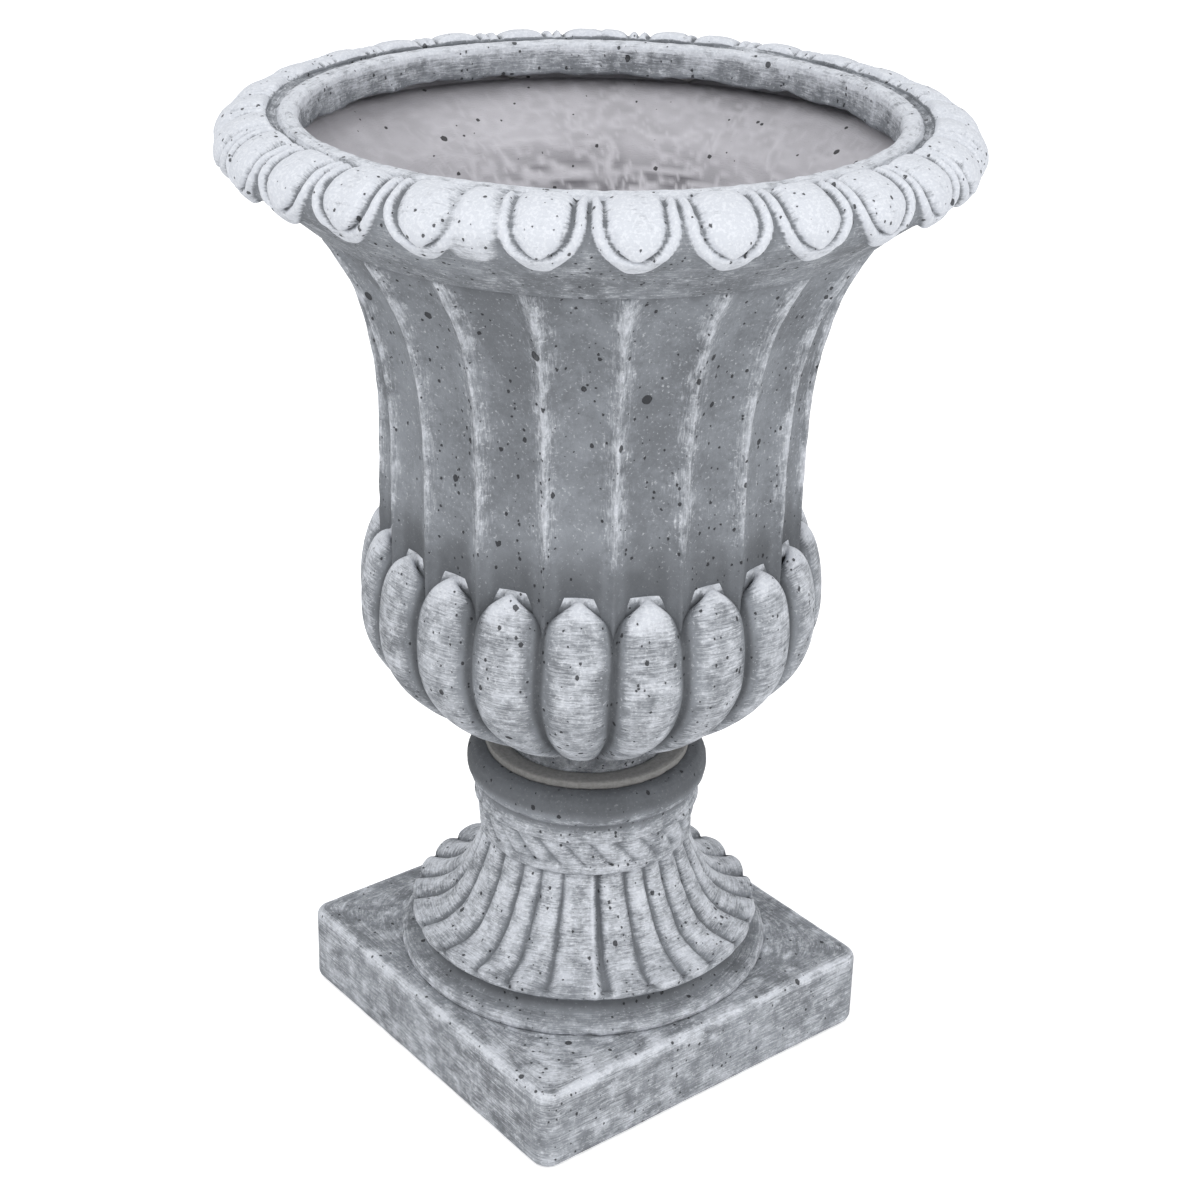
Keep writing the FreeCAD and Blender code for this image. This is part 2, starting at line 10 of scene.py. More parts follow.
import bpy
import numpy as np
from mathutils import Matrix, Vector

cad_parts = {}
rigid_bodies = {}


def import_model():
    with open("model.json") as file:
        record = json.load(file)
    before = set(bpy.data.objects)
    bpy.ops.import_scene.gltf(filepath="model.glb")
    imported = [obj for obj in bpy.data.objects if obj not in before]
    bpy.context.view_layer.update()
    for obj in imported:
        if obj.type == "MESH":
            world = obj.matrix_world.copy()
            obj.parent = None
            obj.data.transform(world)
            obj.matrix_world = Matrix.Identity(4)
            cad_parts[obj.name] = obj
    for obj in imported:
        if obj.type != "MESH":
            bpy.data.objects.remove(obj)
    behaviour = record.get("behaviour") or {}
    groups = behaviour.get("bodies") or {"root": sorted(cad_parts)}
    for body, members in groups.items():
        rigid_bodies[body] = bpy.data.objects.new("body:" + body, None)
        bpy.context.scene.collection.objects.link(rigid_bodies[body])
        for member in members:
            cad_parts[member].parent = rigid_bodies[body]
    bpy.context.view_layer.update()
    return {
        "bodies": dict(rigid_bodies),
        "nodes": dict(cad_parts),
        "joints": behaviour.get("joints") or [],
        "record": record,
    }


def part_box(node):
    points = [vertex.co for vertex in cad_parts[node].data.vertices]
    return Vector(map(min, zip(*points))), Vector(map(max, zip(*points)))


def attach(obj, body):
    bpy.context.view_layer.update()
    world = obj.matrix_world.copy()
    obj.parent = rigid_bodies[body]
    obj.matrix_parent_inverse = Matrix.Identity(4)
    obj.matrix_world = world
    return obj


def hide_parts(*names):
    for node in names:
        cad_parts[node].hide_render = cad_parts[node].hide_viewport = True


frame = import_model()
MM = 0.001
bowl_low, bowl_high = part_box("bowl_rim")
foot_low, foot_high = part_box("pedestal_collar")
RIM_TOP = bowl_high.z / MM
NECK = foot_high.z / MM
print("rim top", round(RIM_TOP, 1), "mm, neck", round(NECK, 1), "mm")

# %% [markdown]
# ## The camera comes first
# The photograph looks down on the urn by about 26 degrees, with one corner of the plinth near the
# viewer, and the camera is held a little off level. All the ornament is counted from the direction that
# faces the camera, so the camera's turn round the urn is a value that the carving uses too.

# %% Camera
CAMERA_TURN = math.radians(-38.72)
CAMERA_DROP = math.radians(25.93)
CAMERA_ROLL = math.radians(1.26)
CAMERA_AWAY = 1322.4
AIM_HEIGHT = 283.1
LENS = 67.33
AIM_SHIFT = 0.0083


def add_camera():
    flat = math.cos(CAMERA_DROP) * CAMERA_AWAY * MM
    height = (AIM_HEIGHT + math.sin(CAMERA_DROP) * CAMERA_AWAY) * MM
    bpy.ops.object.camera_add(location=(math.sin(CAMERA_TURN) * flat, -math.cos(CAMERA_TURN) * flat, height),
                              rotation=(math.pi / 2 - CAMERA_DROP, 0, CAMERA_TURN))
    camera = bpy.context.object
    camera.rotation_euler.rotate_axis("Z", CAMERA_ROLL)
    camera.data.lens = LENS
    camera.data.sensor_width = 36
    camera.data.shift_x = AIM_SHIFT
    camera.data.clip_end = 20
    bpy.context.scene.camera = camera
    return camera


camera = add_camera()
print("camera at", [round(v, 3) for v in camera.location])

# %% [markdown]
# ## Turning a blank
# A plasterer makes the pattern for such an urn by turning a blank with a profile board, then carving the
# ornament into it. The same is done here: a circle's vertices are slid onto the profile, and the profile is
# spun round the axis. Each vertex remembers its row of the profile, so that the carving can find it.

# %% Profile runs, the spun blank and its grid


def deselect():
    if bpy.context.object and bpy.context.object.mode != "OBJECT":
        bpy.ops.object.mode_set(mode="OBJECT")
    bpy.ops.object.select_all(action="DESELECT")


def arc_run(centre, radius, start, end, count):
    turn = np.radians(np.linspace(start, end, count, endpoint=False))
    return np.stack([centre[0] + radius * np.cos(turn), centre[1] + radius * np.sin(turn)], axis=1)


def curve_run(radius_at, start, end, count):
    heights = np.linspace(start, end, count, endpoint=False)
    return np.stack([radius_at(heights), heights], axis=1)


def through_run(points, count):
    """A run of rows, evenly spaced, along the straight lines between these points."""
    points = np.array(points, dtype=float)
    along = np.concatenate([[0], np.cumsum(np.linalg.norm(np.diff(points, axis=0), axis=1))])
    places = np.linspace(0, along[-1], count, endpoint=False)
    return np.stack([np.interp(places, along, points[:, i]) for i in (0, 1)], axis=1)


def spin_blank(name, outline, around):
    """A closed profile in mm, spun round the axis with a screw that does not climb."""
    deselect()
    bpy.ops.mesh.primitive_circle_add(vertices=len(outline), radius=0.01, fill_type="NOTHING")
    blank = bpy.context.object
    blank.name = name
    places = np.zeros((len(outline), 3))
    places[:, [0, 2]] = outline * MM
    blank.data.vertices.foreach_set("co", places.ravel())
    blank.data.update()
    bpy.ops.object.modifier_add(type="SCREW")
    screw = blank.modifiers[-1]
    screw.axis = "Z"
    screw.angle = 2 * math.pi
    screw.steps = screw.render_steps = around
    screw.use_merge_vertices = True
    screw.merge_threshold = 0.000001
    bpy.ops.object.modifier_apply(modifier=screw.name)
    return blank


class Turned:
    """A spun blank seen as a grid: one line of vertices for each turn, one column for each profile row."""

    def __init__(self, name, outline, around):
        self.name = name
        self.outline = outline
        self.around = around
        self.blank = spin_blank(name, outline, around)
        count = np.arange(len(self.blank.data.vertices))
        self.column, self.row = count // len(outline), count % len(outline)
        step = 2 * math.pi / around
        start = CAMERA_TURN + math.pi / 2
        # facing: degrees round the urn, 0 towards the camera and + to the camera's right
        self.facing = (np.arange(around) * 360 / around - 180)[:, None]
        self.turn = (np.arange(around) * step + start)[:, None]
        self.radius = np.repeat(outline[None, :, 0], around, axis=0)
        self.height = np.repeat(outline[None, :, 1], around, axis=0)
        self.along = np.concatenate([[0], np.cumsum(np.linalg.norm(np.diff(outline, axis=0), axis=1))])
        run = np.roll(outline, -1, axis=0) - np.roll(outline, 1, axis=0)
        run /= np.maximum(np.linalg.norm(run, axis=1), 1e-9)[:, None]
        self.out = np.stack([run[:, 1], -run[:, 0]], axis=1)
        self.raised = np.zeros((around, len(outline)))

    def points(self):
        across, deep = self.radius * np.cos(self.turn), self.radius * np.sin(self.turn)
        return np.stack([across, deep, self.height], axis=-1)

    def raise_by(self, amount):
        """Move the surface out by this many mm, square to the profile."""
        self.radius = self.radius + amount * self.out[None, :, 0]
        self.height = self.height + amount * self.out[None, :, 1]
        self.raised = self.raised + amount

    def finish(self, crest, recess, **marks):
        mesh = self.blank.data
        places = self.points()[self.column, self.row] * MM
        mesh.vertices.foreach_set("co", places.ravel())
        for name, value in {"crest": crest, "recess": recess, **marks}.items():
            mark = mesh.attributes.new(name, "FLOAT", "POINT")
            mark.data.foreach_set("value", np.broadcast_to(value, self.raised.shape)[self.column, self.row]
                                  .astype(np.float32))
        corner = np.empty(len(mesh.loops), dtype=np.int32)
        mesh.loops.foreach_get("vertex_index", corner)
        across = self.column[corner].reshape(-1, 4).astype(float)
        closing = across.max(axis=1) - across.min(axis=1) > self.around / 2
        across[closing] = np.where(across[closing] < self.around / 2, across[closing] + self.around,
                                   across[closing])
        widest = self.outline[:, 0].max()
        layer = mesh.uv_layers.new(name="wrap")
        sheet = np.stack([across.ravel() / self.around * 2 * math.pi * widest,
                          self.along[self.row[corner]]], axis=1)
        layer.data.foreach_set("uv", sheet.ravel().astype(np.float32))
        mesh.update()
        deselect()
        self.blank.select_set(True)
        bpy.context.view_layer.objects.active = self.blank
        bpy.ops.object.mode_set(mode="EDIT")
        bpy.ops.mesh.select_all(action="SELECT")
        bpy.ops.mesh.normals_make_consistent(inside=False)
        bpy.ops.object.mode_set(mode="OBJECT")
        bpy.ops.object.shade_smooth()
        print(self.name, len(mesh.vertices), "vertices", len(mesh.polygons), "faces")
        return self.blank


# %% [markdown]
# ## Hand work
# Nothing on a hand-packed casting is quite true. Smooth random unevenness from a few lattices of random
# values stands for the packing, the patching and the wear, always from the same seeds.

# %% Unevenness, soft steps and blurring


def mottle(points, cell, seed):
    """Smooth random values from -1 to 1, changing over about this many mm."""
    table = np.random.default_rng(seed).uniform(-1, 1, 8192)
    scaled = points / np.array(cell, dtype=float) + 1000
    base = np.floor(scaled).astype(np.int64)
    part = scaled - base
    part = part * part * (3 - 2 * part)
    total = np.zeros(points.shape[:-1])
    for corner in range(8):
        step = np.array([corner & 1, corner >> 1 & 1, corner >> 2 & 1])
        weight = np.prod(np.where(step == 1, part, 1 - part), axis=-1)
        place = base + step
        index = place[..., 0] * 73856093 ^ place[..., 1] * 19349663 ^ place[..., 2] * 83492791
        total += weight * table[index & 8191]
    return total


def uneven(points, cell, seed):
    """Three layers of mottle, each half the size and half the strength of the last."""
    return sum(mottle(points, cell / 2**i, seed + i) / 2**i for i in range(3)) / 1.75


def ease(value, low, high):
    share = np.clip((value - low) / (high - low), 0, 1)
    return share * share * (3 - 2 * share)


def blur(grid, columns, rows):
    """A running mean, round the urn and along the profile."""
    for axis, reach in ((0, columns), (1, rows)):
        if reach < 1:
            continue
        total = np.zeros_like(grid)
        for step in range(-reach, reach + 1):
            total += np.roll(grid, step, axis=axis)
        grid = total / (2 * reach + 1)
    return grid


def high_and_low(turned, columns, rows, reach):
    """How far each place stands above or sinks below the surface round it, from 0 to 1."""
    stand = turned.raised - blur(blur(turned.raised, columns, rows), columns, rows)
    return np.clip(stand / reach, 0, 1), np.clip(-stand / reach, 0, 1)


def bump_at(facing, height, at_facing, at_height, half_turn, half_height):
    """1 at one place on the surface, falling off to 0 round it."""
    off = ((facing - at_facing) / half_turn) ** 2 + ((height - at_height) / half_height) ** 2
    return np.exp(-off)


# %% [markdown]
# ## The rim
# The rim is a hollow roll with 28 eggs in U-shaped frames round it, a groove, and a narrow lip that the
# mould's edge left rough. The mould was in two halves: where they meet at the front, the pattern is wider
# by a third of a bay, and a squeezed scrap of an egg fills it.

# %% The egg frieze
BOWL = 195.0
ROLL_CENTRE = (180.0, BOWL + 364.0)
ROLL_SQUASH = 0.71
FLOOR_REACH = 21.2
EGG_RISE = 4.6
FRAME_RISE = 3.7
HEAD_TILT = 100.0
FOOT_TILT = -60.0
EGG_PITCH = 12.72
RIGHT_EGG = -7.6
LEFT_EGG = -24.2
BACK_SEAM = 164.2
SCRAP_FACING = -16.9
SCRAP_RISE = 4.4
SKIN_BACK = 19
EGG_END = 0.75


def roll_run(radius, start, end, count):
    run = arc_run((ROLL_CENTRE[0], 0), radius, start, end, count)
    return run * [1, ROLL_SQUASH] + [0, ROLL_CENTRE[1]]


def roll_place(radius, tilt):
    turn = math.radians(tilt)
    return (ROLL_CENTRE[0] + radius * math.cos(turn), ROLL_CENTRE[1] + ROLL_SQUASH * radius * math.sin(turn))


FRIEZE_ROWS = 80
frieze_outline = np.vstack([roll_run(FLOOR_REACH, FOOT_TILT, HEAD_TILT, FRIEZE_ROWS),
                            through_run([roll_place(FLOOR_REACH, HEAD_TILT),
                                         roll_place(SKIN_BACK, HEAD_TILT)], 2),
                            roll_run(SKIN_BACK, HEAD_TILT, FOOT_TILT, 12),
                            through_run([roll_place(SKIN_BACK, FOOT_TILT),
                                         roll_place(FLOOR_REACH, FOOT_TILT)], 2)])
eggs = Turned("egg_frieze_band", frieze_outline, 1008)
FRIEZE = slice(0, FRIEZE_ROWS)


def egg_offset(facing):
    """Degrees from the middle of the nearest egg, on each half of the mould."""
    seam = (RIGHT_EGG + LEFT_EGG) / 2
    right = (facing - RIGHT_EGG + EGG_PITCH / 2) % EGG_PITCH - EGG_PITCH / 2
    left = (facing - LEFT_EGG + EGG_PITCH / 2) % EGG_PITCH - EGG_PITCH / 2
    on_right = (facing > seam) & (facing < BACK_SEAM)
    past_right = (facing > seam) & (facing < RIGHT_EGG - EGG_PITCH / 2)
    past_left = (facing <= seam) & (facing > LEFT_EGG + EGG_PITCH / 2)
    offset = np.where(on_right, right, left)
    offset = np.where(past_right, facing - RIGHT_EGG, offset)
    return np.where(past_left, facing - LEFT_EGG, offset)


# half widths in mm of an egg and of the frame round it, from the groove down to the foot of the frieze
EGG_SHARES = (0, 0.42, 0.5, 0.58, 0.65, 0.7, 0.735, EGG_END)
EGG_HALVES = (13.4, 13.8, 13.3, 11.7, 9.2, 6.4, 3.2, 0.01)
FRAME_SHARES = (0, 0.15, 0.37, 0.475, 0.58, 0.69, 0.78, 0.86, 0.93, 0.98, 1)
FRAME_HALVES = (19.2, 19.8, 20.8, 20.6, 19.2, 16.4, 13.2, 9.8, 6.0, 1.5, 0.01)
CREASE = 1.5


def egg_relief(across, share):
    across = np.abs(across)
    egg_half = np.interp(share, EGG_SHARES, EGG_HALVES)
    frame_half = np.interp(share, FRAME_SHARES, FRAME_HALVES)
    egg = EGG_RISE * np.maximum(1 - (across / egg_half) ** 2.6, 0) ** 0.5
    inner = np.where(egg_half > 0.1, egg_half + CREASE, 0)
    middle = (inner + frame_half) / 2
    half = np.maximum((frame_half - inner) / 2, 0.3)
    frame = FRAME_RISE * np.maximum(1 - np.abs((across - middle) / half) ** 2.6, 0) ** 0.5
    frame = np.where(share > EGG_END, FRAME_RISE * np.maximum(1 - (across / frame_half) ** 3, 0) ** 0.5, frame)
    low_edge = 1 - ease(share, 0.9, 1.0)
    dart = -1.0 * ease(across - frame_half, 0, 2.5) * ease(share, 0.02, 0.15) * low_edge
    return np.maximum(egg, frame * (0.4 + 0.6 * low_edge)) + dart


tilt = np.linspace(FOOT_TILT, HEAD_TILT, FRIEZE_ROWS, endpoint=False)[None, :]
share = (HEAD_TILT - tilt) / (HEAD_TILT - FOOT_TILT)
face = eggs.points()[:, FRIEZE]
waver = 0.9 * mottle(face, 24, 3) + 0.4 * mottle(face, 9, 5)
row_radius = ROLL_CENTRE[0] + FLOOR_REACH * np.cos(np.radians(tilt))
across = np.radians(egg_offset(eggs.facing)) * row_radius + waver
rise = egg_relief(across, np.clip(share + 0.012 * mottle(face, 30, 9), 0, 1))
scrap = bump_at(eggs.facing, share, SCRAP_FACING, 0.3, 2.6, 0.42)
rise = np.maximum(rise, SCRAP_RISE * np.clip(scrap * 1.5, 0, 1) ** 0.8)
frieze_rise = np.zeros_like(eggs.raised)
frieze_rise[:, FRIEZE] = rise * (0.35 + 0.65 * ease(share, 0.0, 0.05))
frieze_rise = 0.4 * frieze_rise + 0.6 * blur(frieze_rise, 1, 1)
eggs.raise_by(frieze_rise)
skin = np.zeros(len(frieze_outline))
skin[FRIEZE] = 1
face = eggs.points()
hand = 0.35 * uneven(face, 60, 41) + 0.22 * mottle(face, 5, 43) + 0.1 * mottle(face, 2.6, 44) - 0.2
eggs.raise_by(skin * hand)
crest, recess = high_and_low(eggs, 5, 3, 2.4)
egg_wash = np.zeros(len(frieze_outline))
egg_wash[FRIEZE] = 0.62 + 0.3 * ease(tilt[0], -50, 10)
dart_grey = 0.5 * (1 - ease(eggs.raised, 0.0, 1.6))
egg_frieze_band = eggs.finish(crest, 0.45 * recess, wash=egg_wash[None, :] - dart_grey)

# %% The rim behind the frieze: soffit, groove and lip
HOLLOW_REACH = 17
HOLLOW_TOP = 135
HOLLOW_FOOT = -98
# where the mould seams smeared the groove: degrees round, width in degrees, strength
SMEARS = ((-22, 8, 1.0), (-48, 9, 0.5), (150, 8, 0.7), (28, 5, 0.3), (-100, 10, 0.4))
foot = roll_place(FLOOR_REACH, FOOT_TILT)
head = roll_place(FLOOR_REACH, HEAD_TILT)
rim_parts = {
    "soffit": through_run([(153, BOWL + 324), (158, BOWL + 325.4), (175, BOWL + 339.5), foot], 18),
    "roll": roll_run(20, FOOT_TILT, HEAD_TILT - 4, 12),
    "groove": through_run([roll_place(FLOOR_REACH + 0.2, HEAD_TILT - 3), (174.6, head[1] - 1.6),
                           (172.4, head[1] - 2.0), (171.2, BOWL + 378)], 10),
    "crest": through_run([(171.2, BOWL + 378), (170.3, BOWL + 379.6), (168, BOWL + 380.4), (165, BOWL + 380.7),
                          (162, BOWL + 380.2), (159.9, BOWL + 378.4), (159.2, BOWL + 375)], 18),
    "lip_face": through_run([(159.2, BOWL + 375), (159.2, BOWL + 361)], 16),
    "lip_edge": through_run([(159.2, BOWL + 361), (160.5, BOWL + 359.4), (168, BOWL + 359.4)], 7),
    "hollow": through_run([(168, BOWL + 359.4), roll_place(HOLLOW_REACH, HOLLOW_TOP)], 3),
    "hollow_arc": roll_run(HOLLOW_REACH, HOLLOW_TOP, HOLLOW_FOOT, 14),
    "under": through_run([roll_place(HOLLOW_REACH, HOLLOW_FOOT), (141, BOWL + 325.5),
                          (141, BOWL + 324), (153, BOWL + 324)], 12),
}
rim_outline = np.vstack(list(rim_parts.values()))
rim = Turned("lip_and_groove", rim_outline, 720)
part_ends = np.cumsum([len(run) for run in rim_parts.values()])
rim_rows = {name: slice(end - len(run), end) for (name, run), end in zip(rim_parts.items(), part_ends)}
smear = np.zeros((rim.around, 1))
for place, width, weight in SMEARS:
    smear += weight * np.exp(-((rim.facing - place) / width) ** 2)
groove_fill = np.zeros_like(rim.raised)
groove_fill[:, rim_rows["groove"]] = 2.6
rim.raise_by(groove_fill * np.clip(smear, 0, 1))
lip_rows = np.zeros(len(rim_outline))
lip_rows[rim_rows["groove"].start:rim_rows["lip_edge"].stop] = 1
face = rim.points()
rim.raise_by(lip_rows * (0.6 * uneven(face, 28, 21) + 0.3 * mottle(face, 4, 25) - 0.25))
low = rim_rows["lip_face"]
fade = np.zeros(len(rim_outline))
fade[low] = np.linspace(0, 1, low.stop - low.start) ** 1.5
fade[rim_rows["lip_edge"]] = 1
fade[rim_rows["hollow"]] = 1
drop = 2.8 * uneven(face, 26, 31) + 1.1 * mottle(face, 6, 37)
rim.height = rim.height + fade * np.clip(drop + 1.0, -1.0, 5.0)
crest, recess = high_and_low(rim, 6, 3, 2.0)
rim_wash = np.zeros(len(rim_outline))
rim_wash[rim_rows["groove"]] = 0.35
rim_wash[rim_rows["crest"]] = 0.85
rim_wash[rim_rows["lip_face"]] = np.linspace(0.6, 0.25, low.stop - low.start)
rim_wash[rim_rows["soffit"]] = 0.2
bowl_rim = rim.finish(crest, recess, wash=rim_wash[None, :])

# %% [markdown]
# ## The bell
# Twenty shallow flutes run up the bell, with thin raised arrises between them that spread where they meet
# the rim. The casting is thin, so the arrises waver a little.

# %% The bell
ARRIS_FACING = 6.0
ROUND = 18.0
BELL_RADIUS = 122
BELL_FLARE = 34
WAIST_UP = 195
FLARE_RISE = 130
FLUTE_DEPTH = 6.2


def bell_radius(height):
    rise = np.clip((height - BOWL - WAIST_UP) / FLARE_RISE, 0, None)
    return BELL_RADIUS + BELL_FLARE * rise**2.5


BELL_ROWS = 124
bell_outer = curve_run(bell_radius, BOWL + 119, BOWL + 325, BELL_ROWS)
bell_outline = np.vstack([bell_outer,
                          through_run([(156, BOWL + 325), (141, BOWL + 325)], 4),
                          through_run([(141, BOWL + 325), (131, BOWL + 307), (117.8, BOWL + 280),
                                       (107.7, BOWL + 229), (106.5, BOWL + 196), (106.5, BOWL + 163),
                                       (107, BOWL + 119)], 16),
                          through_run([(107, BOWL + 119), (122, BOWL + 119)], 3)])
bell = Turned("fluted_bell", bell_outline, 640)


def round_phase(facing):
    """-1 to 1 across one flute or gadroon, 0 in its middle."""
    return ((facing - ARRIS_FACING) / ROUND % 1) * 2 - 1


bell_face = slice(0, BELL_ROWS)
height = bell.height[:, bell_face]
face = bell.points()[:, bell_face]
wander = 0.35 * mottle(face * [1, 1, 0.35], 30, 51) + 0.12 * mottle(face, 8, 53)
phase = round_phase(bell.facing + wander)
off_arris = (1 - np.abs(phase)) * math.radians(ROUND / 2) * bell_outline[None, bell_face, 0]
spread = ease(height, BOWL + 285, BOWL + 326)
flute = FLUTE_DEPTH * (1 - np.abs(phase) ** 2.0) ** 0.9
ridge = (0.9 + 1.6 * spread) * np.exp(-(off_arris / (1.5 + 6.5 * spread)) ** 2)
cut = -flute * (1 - 0.35 * spread) + ridge - 0.9
bell_rise = np.zeros_like(bell.raised)
bell_rise[:, bell_face] = cut
bell.raise_by(bell_rise)
face = bell.points()
skin = np.zeros(len(bell_outline))
skin[bell_face] = 1
bell.raise_by(skin * (0.7 * uneven(face, 70, 61) + 0.22 * mottle(face, 9, 63) + 0.1 * mottle(face, 4, 64)))
patch = bump_at(bell.facing, bell.height, -2.2, 468, 1.6, 5)
bell.raise_by(skin * 0.9 * ease(patch, 0.3, 0.6))
crest, recess = high_and_low(bell, 6, 3, 2.6)
foot_shade = 1 - ease(bell.height, BOWL + 143, BOWL + 185)
bowl_bell = bell.finish(0.5 * crest, np.clip(recess + 0.6 * foot_shade, 0, 1), wash=0.22)

# %% [markdown]
# ## The belly
# Twenty fat gadroons wrap the belly. Each is a rounded lobe with an arched top that stands off the bell,
# and the valleys between them are sharp.

# %% The belly
BELLY_RADIUS = 135
BELLY_TUCK = 83
WIDEST_UP = 98
BELLY_RISE = 88
SHOULDER_UP = 100
SHOULDER_RISE = 45
SHOULDER_TUCK = 17
LOBE_DEPTH = 8.2


def belly_radius(height):
    up = height - BOWL
    low_part = BELLY_RADIUS - BELLY_TUCK * np.clip((WIDEST_UP - up) / BELLY_RISE, 0, 1) ** 2.25
    top = np.clip((up - SHOULDER_UP) / SHOULDER_RISE, 0, 1)
    return low_part - SHOULDER_TUCK * (1 - np.sqrt(np.maximum(1 - top**2, 0)))


shoulder_turns = np.linspace(0, math.pi / 2, 44)
belly_heights = BOWL + np.concatenate([np.linspace(10, SHOULDER_UP, 72, endpoint=False),
                                       SHOULDER_UP + SHOULDER_RISE * np.sin(shoulder_turns)])
belly_outer = np.stack([belly_radius(belly_heights), belly_heights], axis=1)
BELLY_ROWS = len(belly_outer)
belly_outline = np.vstack([belly_outer,
                           through_run([(116, BOWL + 145), (108, BOWL + 145)], 4),
                           through_run([(108, BOWL + 145), (114.5, BOWL + 127.6), (118.5, BOWL + 97.8),
                                        (113, BOWL + 78), (104, BOWL + 63), (90, BOWL + 46), (70, BOWL + 33),
                                        (48, BOWL + 27), (12, BOWL + 27)], 18),
                           through_run([(12, BOWL + 27), (12, BOWL - 16), (47.9, BOWL - 16), (48, BOWL),
                                        (52, BOWL + 10)], 12)])
belly = Turned("gadrooned_belly", belly_outline, 640)
belly_face = slice(0, BELLY_ROWS)
height = belly.height[:, belly_face]
face = belly.points()[:, belly_face]
wander = 0.4 * mottle(face, 40, 71) + 0.15 * mottle(face, 12, 73)
phase = np.abs(round_phase(belly.facing + wander))
up = (height - BOWL - 112) / 33.5
arch = np.clip(1 - np.clip(up, 0, 0.995) ** 2.4, 0.01, 1) ** 0.42
lobe = LOBE_DEPTH * np.clip(0.7 * (phase / arch) ** 2.3 + 0.3 * (phase / arch) ** 9, 0, 1.6)
belly_rise = np.zeros_like(belly.raised)
belly_rise[:, belly_face] = -lobe * (0.45 + 0.55 * ease(height, BOWL + 10, BOWL + 40))
belly.raise_by(belly_rise)
face = belly.points()
skin = np.zeros(len(belly_outline))
skin[belly_face] = 1
belly.raise_by(skin * (0.6 * uneven(face, 55, 81) + 0.15 * mottle(face, 8, 83)))
crest, recess = high_and_low(belly, 8, 4, 3.6)
belly_wash = 0.30 - 0.12 * ease(belly.height, BOWL + 110, BOWL + 140)
bowl_belly = belly.finish(crest, recess, wash=belly_wash)

# %% [markdown]
# ## The pedestal
# Above the plinth a ring bead, a small cove and the ribbed trumpet rise to a plain fillet, a band of slanted
# leaves, a neck and a torus. The ribs are uneven, and at the front a seam of the mould has smeared them.

# %% The pedestal stem
RIB_DEPTH = 4.6
LEAVES = 26
# degrees round the foot, as the photo shows them; the unseen back is evenly spaced
RIB_GROOVES = [-84.9, -69.3, -52.7, -36.9, -24.5, -11.5, 8.8, 23.8, 35.4, 47.3, 62.1, 76.8]
back_grooves = np.linspace(RIB_GROOVES[-1], 360 + RIB_GROOVES[0], 15)[1:-1]
all_grooves = np.array(RIB_GROOVES + list(back_grooves) + [360 + RIB_GROOVES[0]])
# radius and height in mm, from the foot up to the fillet
TRUMPET = [(107, 79.6), (102, 80.3), (97, 81.2), (92, 82.8), (87, 85.3), (82, 89.2), (77.5, 95), (73, 103.5),
           (70, 110.5), (67, 118), (64.2, 125.5), (62, 132)]
stem_parts = {
    "bead": through_run([(112, 52), (113.6, 53.5), (114, 56), (113, 58.6), (110, 60), (103, 60.5)], 20),
    "cove": through_run([(103, 60.5), (99.5, 63), (99, 66), (99.5, 69), (102, 71.5)], 12),
    "foot": through_run([(102, 71.5), (105.5, 72.5), (107.4, 74.5), (107.8, 77), (107, 79.6)], 10),
    "trumpet": through_run(TRUMPET, 56),
    "fillet": through_run([(62, 132), (64.6, 133), (65, 134.5), (65, 138), (64.4, 139)], 8),
    "leaves": through_run([(64.4, 139), (65.5, 141), (66, 147), (66.5, 154), (66, 156)], 16),
    "neck": through_run([(66, 156), (68.5, 157.5), (66.5, 160), (65.6, 164), (66, 168)], 10),
    "torus": through_run([(66, 168), (69.4, 170), (71.8, 173.5), (72.8, 178), (72.6, 182), (71, 186),
                          (68, 189), (64, 190)], 26),
    "top": through_run([(64, 190), (54, 190), (54, 168), (18, 168), (18, 158), (48, 158)], 14),
    "core": through_run([(48, 158), (48.5, 132), (52.6, 120.5), (56.9, 109), (61.3, 97.5), (72, 86), (90, 72),
                         (90, 52)], 12),
    "seat": through_run([(90, 52), (112, 52)], 3),
}
stem_outline = np.vstack(list(stem_parts.values()))
stem = Turned("pedestal_stem", stem_outline, 528)
ends = np.cumsum([len(run) for run in stem_parts.values()])
stem_rows = {name: slice(end - len(run), end) for (name, run), end in zip(stem_parts.items(), ends)}
facing = np.where(stem.facing < RIB_GROOVES[0], stem.facing + 360, stem.facing)
face = stem.points()
ribbed = slice(stem_rows["foot"].start, stem_rows["trumpet"].stop)
wander = 1.0 * mottle(face[:, ribbed], 30, 91) + 0.4 * mottle(face[:, ribbed], 9, 93)
count = np.interp(facing + wander, all_grooves, np.arange(len(all_grooves)))
rib = np.abs(count % 1 * 2 - 1)
groove = RIB_DEPTH * np.clip(0.62 * rib**2.2 + 0.38 * rib**8, 0, 1)
smeared = np.exp(-((stem.facing + 3.5) / 5.5) ** 4)
groove = groove * (1 - 0.85 * smeared)
fade = ease(stem.height[:, ribbed], 72, 77) * (1 - 0.35 * ease(stem.height[:, ribbed], 112, 132))
stem_rise = np.zeros_like(stem.raised)
seam = 1.8 * np.exp(-((stem.facing - 4.6) / 1.0) ** 2) - 2.2 * np.exp(-((stem.facing - 7.6) / 1.3) ** 2)
stem_rise[:, ribbed] = (-groove + seam) * fade
slant = (stem.facing + 12 * (stem.height - 139) / 17) / (360 / LEAVES) % 1 * 2 - 1
leaf_rows = stem_rows["leaves"]
stem_rise[:, leaf_rows] = -1.9 * np.abs(slant[:, leaf_rows]) ** 2.5
stem.raise_by(stem_rise)
face = stem.points()
skin = np.zeros(len(stem_outline))
skin[:stem_rows["torus"].stop] = 1
hand = 0.55 * uneven(face, 40, 101) + 0.22 * mottle(face, 7, 103) + 0.1 * mottle(face, 3.5, 104)
